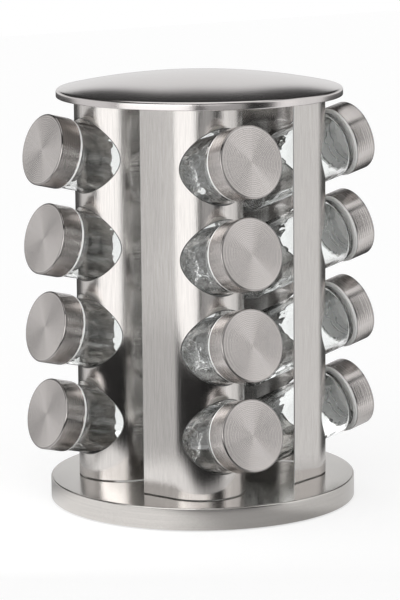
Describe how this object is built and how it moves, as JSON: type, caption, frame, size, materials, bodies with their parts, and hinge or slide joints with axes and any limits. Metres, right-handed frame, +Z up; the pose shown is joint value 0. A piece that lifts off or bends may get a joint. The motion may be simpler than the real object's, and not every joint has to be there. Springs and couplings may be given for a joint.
{
  "type": "rotating spice rack",
  "caption": "Round countertop spice rack on a turntable: a pinwheel of bent steel columns under a domed lid holds rows of tilted glass jars with screw caps.",
  "frame": {"origin": "on the rack's turning axis, at the counter that its feet stand on", "axes": "+Z up along the turning axis; the front column's jars point towards -Y and the right column's towards +X"},
  "size_m": [0.2076, 0.2076, 0.2728],
  "materials": {
    "column_steel": "vertical brushed stainless steel",
    "base_steel": "brushed stainless steel",
    "lid_steel": "satin stainless steel",
    "cap_steel": "circular brushed stainless steel",
    "turntable_steel": "zinc plated steel",
    "ball_steel": "polished steel",
    "foot_rubber": "soft black rubber",
    "jar_glass": "clear pressed glass",
    "insert_plastic": "translucent white plastic"
  },
  "bodies": {
    "foot": {"foot_plate": "turntable_steel", "rubber_feet": "foot_rubber", "pivot_rivet": "turntable_steel"},
    "ball_ring": {"bearing_balls": "ball_steel"},
    "carousel": {"upper_race": "turntable_steel", "base_pan": "base_steel", "top_plate": "column_steel", "lid": "lid_steel", "column_front": "column_steel", "column_right": "column_steel", "column_back": "column_steel", "column_left": "column_steel"},
    "front_jar_1": {"jar_front_1": "jar_glass"},
    "front_closure_1": {"cap_insert_front_1": "insert_plastic", "cap_front_1": "cap_steel"},
    "front_jar_2": {"jar_front_2": "jar_glass"},
    "front_closure_2": {"cap_insert_front_2": "insert_plastic", "cap_front_2": "cap_steel"},
    "front_jar_3": {"jar_front_3": "jar_glass"},
    "front_closure_3": {"cap_insert_front_3": "insert_plastic", "cap_front_3": "cap_steel"},
    "front_jar_4": {"jar_front_4": "jar_glass"},
    "front_closure_4": {"cap_insert_front_4": "insert_plastic", "cap_front_4": "cap_steel"},
    "right_jar_1": {"jar_right_1": "jar_glass"},
    "right_closure_1": {"cap_insert_right_1": "insert_plastic", "cap_right_1": "cap_steel"},
    "right_jar_2": {"jar_right_2": "jar_glass"},
    "right_closure_2": {"cap_insert_right_2": "insert_plastic", "cap_right_2": "cap_steel"},
    "right_jar_3": {"jar_right_3": "jar_glass"},
    "right_closure_3": {"cap_insert_right_3": "insert_plastic", "cap_right_3": "cap_steel"},
    "right_jar_4": {"jar_right_4": "jar_glass"},
    "right_closure_4": {"cap_insert_right_4": "insert_plastic", "cap_right_4": "cap_steel"},
    "back_jar_1": {"jar_back_1": "jar_glass"},
    "back_closure_1": {"cap_insert_back_1": "insert_plastic", "cap_back_1": "cap_steel"},
    "back_jar_2": {"jar_back_2": "jar_glass"},
    "back_closure_2": {"cap_insert_back_2": "insert_plastic", "cap_back_2": "cap_steel"},
    "back_jar_3": {"jar_back_3": "jar_glass"},
    "back_closure_3": {"cap_insert_back_3": "insert_plastic", "cap_back_3": "cap_steel"},
    "back_jar_4": {"jar_back_4": "jar_glass"},
    "back_closure_4": {"cap_insert_back_4": "insert_plastic", "cap_back_4": "cap_steel"},
    "left_jar_1": {"jar_left_1": "jar_glass"},
    "left_closure_1": {"cap_insert_left_1": "insert_plastic", "cap_left_1": "cap_steel"},
    "left_jar_2": {"jar_left_2": "jar_glass"},
    "left_closure_2": {"cap_insert_left_2": "insert_plastic", "cap_left_2": "cap_steel"},
    "left_jar_3": {"jar_left_3": "jar_glass"},
    "left_closure_3": {"cap_insert_left_3": "insert_plastic", "cap_left_3": "cap_steel"},
    "left_jar_4": {"jar_left_4": "jar_glass"},
    "left_closure_4": {"cap_insert_left_4": "insert_plastic", "cap_left_4": "cap_steel"}
  },
  "joints": [
    {"name": "carousel_spin", "type": "hinge", "parent": "foot", "child": "carousel", "pos_m": [0, 0, 0], "axis": [0, 0, 1], "continuous": true},
    {"name": "ball_ring_roll", "type": "hinge", "parent": "foot", "child": "ball_ring", "pos_m": [0, 0, 0], "axis": [0, 0, 1], "continuous": true},
    {"name": "front_jar_1_slide", "type": "slide", "parent": "carousel", "child": "front_jar_1", "axis": [0, -0.9703, 0.2419], "range_m": [0, 0.055]},
    {"name": "front_cap_1_turn", "type": "hinge", "parent": "front_jar_1", "child": "front_closure_1", "pos_m": [-0.03, -0.00808, 0.03772], "axis": [0, -0.9703, 0.2419], "range_deg": [0, 360]},
    {"name": "front_jar_2_slide", "type": "slide", "parent": "carousel", "child": "front_jar_2", "axis": [0, -0.9703, 0.2419], "range_m": [0, 0.055]},
    {"name": "front_cap_2_turn", "type": "hinge", "parent": "front_jar_2", "child": "front_closure_2", "pos_m": [-0.03, -0.00808, 0.09369], "axis": [0, -0.9703, 0.2419], "range_deg": [0, 360]},
    {"name": "front_jar_3_slide", "type": "slide", "parent": "carousel", "child": "front_jar_3", "axis": [0, -0.9703, 0.2419], "range_m": [0, 0.055]},
    {"name": "front_cap_3_turn", "type": "hinge", "parent": "front_jar_3", "child": "front_closure_3", "pos_m": [-0.03, -0.00808, 0.14966], "axis": [0, -0.9703, 0.2419], "range_deg": [0, 360]},
    {"name": "front_jar_4_slide", "type": "slide", "parent": "carousel", "child": "front_jar_4", "axis": [0, -0.9703, 0.2419], "range_m": [0, 0.055]},
    {"name": "front_cap_4_turn", "type": "hinge", "parent": "front_jar_4", "child": "front_closure_4", "pos_m": [-0.03, -0.00808, 0.20562], "axis": [0, -0.9703, 0.2419], "range_deg": [0, 360]},
    {"name": "right_jar_1_slide", "type": "slide", "parent": "carousel", "child": "right_jar_1", "axis": [0.9703, 0, 0.2419], "range_m": [0, 0.055]},
    {"name": "right_cap_1_turn", "type": "hinge", "parent": "right_jar_1", "child": "right_closure_1", "pos_m": [0.00808, -0.03, 0.03772], "axis": [0.9703, 0, 0.2419], "range_deg": [0, 360]},
    {"name": "right_jar_2_slide", "type": "slide", "parent": "carousel", "child": "right_jar_2", "axis": [0.9703, 0, 0.2419], "range_m": [0, 0.055]},
    {"name": "right_cap_2_turn", "type": "hinge", "parent": "right_jar_2", "child": "right_closure_2", "pos_m": [0.00808, -0.03, 0.09369], "axis": [0.9703, 0, 0.2419], "range_deg": [0, 360]},
    {"name": "right_jar_3_slide", "type": "slide", "parent": "carousel", "child": "right_jar_3", "axis": [0.9703, 0, 0.2419], "range_m": [0, 0.055]},
    {"name": "right_cap_3_turn", "type": "hinge", "parent": "right_jar_3", "child": "right_closure_3", "pos_m": [0.00808, -0.03, 0.14966], "axis": [0.9703, 0, 0.2419], "range_deg": [0, 360]},
    {"name": "right_jar_4_slide", "type": "slide", "parent": "carousel", "child": "right_jar_4", "axis": [0.9703, 0, 0.2419], "range_m": [0, 0.055]},
    {"name": "right_cap_4_turn", "type": "hinge", "parent": "right_jar_4", "child": "right_closure_4", "pos_m": [0.00808, -0.03, 0.20562], "axis": [0.9703, 0, 0.2419], "range_deg": [0, 360]},
    {"name": "back_jar_1_slide", "type": "slide", "parent": "carousel", "child": "back_jar_1", "axis": [0, 0.9703, 0.2419], "range_m": [0, 0.055]},
    {"name": "back_cap_1_turn", "type": "hinge", "parent": "back_jar_1", "child": "back_closure_1", "pos_m": [0.03, 0.00808, 0.03772], "axis": [0, 0.9703, 0.2419], "range_deg": [0, 360]},
    {"name": "back_jar_2_slide", "type": "slide", "parent": "carousel", "child": "back_jar_2", "axis": [0, 0.9703, 0.2419], "range_m": [0, 0.055]},
    {"name": "back_cap_2_turn", "type": "hinge", "parent": "back_jar_2", "child": "back_closure_2", "pos_m": [0.03, 0.00808, 0.09369], "axis": [0, 0.9703, 0.2419], "range_deg": [0, 360]},
    {"name": "back_jar_3_slide", "type": "slide", "parent": "carousel", "child": "back_jar_3", "axis": [0, 0.9703, 0.2419], "range_m": [0, 0.055]},
    {"name": "back_cap_3_turn", "type": "hinge", "parent": "back_jar_3", "child": "back_closure_3", "pos_m": [0.03, 0.00808, 0.14966], "axis": [0, 0.9703, 0.2419], "range_deg": [0, 360]},
    {"name": "back_jar_4_slide", "type": "slide", "parent": "carousel", "child": "back_jar_4", "axis": [0, 0.9703, 0.2419], "range_m": [0, 0.055]},
    {"name": "back_cap_4_turn", "type": "hinge", "parent": "back_jar_4", "child": "back_closure_4", "pos_m": [0.03, 0.00808, 0.20562], "axis": [0, 0.9703, 0.2419], "range_deg": [0, 360]},
    {"name": "left_jar_1_slide", "type": "slide", "parent": "carousel", "child": "left_jar_1", "axis": [-0.9703, 0, 0.2419], "range_m": [0, 0.055]},
    {"name": "left_cap_1_turn", "type": "hinge", "parent": "left_jar_1", "child": "left_closure_1", "pos_m": [-0.00808, 0.03, 0.03772], "axis": [-0.9703, 0, 0.2419], "range_deg": [0, 360]},
    {"name": "left_jar_2_slide", "type": "slide", "parent": "carousel", "child": "left_jar_2", "axis": [-0.9703, 0, 0.2419], "range_m": [0, 0.055]},
    {"name": "left_cap_2_turn", "type": "hinge", "parent": "left_jar_2", "child": "left_closure_2", "pos_m": [-0.00808, 0.03, 0.09369], "axis": [-0.9703, 0, 0.2419], "range_deg": [0, 360]},
    {"name": "left_jar_3_slide", "type": "slide", "parent": "carousel", "child": "left_jar_3", "axis": [-0.9703, 0, 0.2419], "range_m": [0, 0.055]},
    {"name": "left_cap_3_turn", "type": "hinge", "parent": "left_jar_3", "child": "left_closure_3", "pos_m": [-0.00808, 0.03, 0.14966], "axis": [-0.9703, 0, 0.2419], "range_deg": [0, 360]},
    {"name": "left_jar_4_slide", "type": "slide", "parent": "carousel", "child": "left_jar_4", "axis": [-0.9703, 0, 0.2419], "range_m": [0, 0.055]},
    {"name": "left_cap_4_turn", "type": "hinge", "parent": "left_jar_4", "child": "left_closure_4", "pos_m": [-0.00808, 0.03, 0.20562], "axis": [-0.9703, 0, 0.2419], "range_deg": [0, 360]}
  ],
  "couplings": [
    {"joint": "ball_ring_roll", "follows": "carousel_spin", "ratio": 0.5}
  ]
}
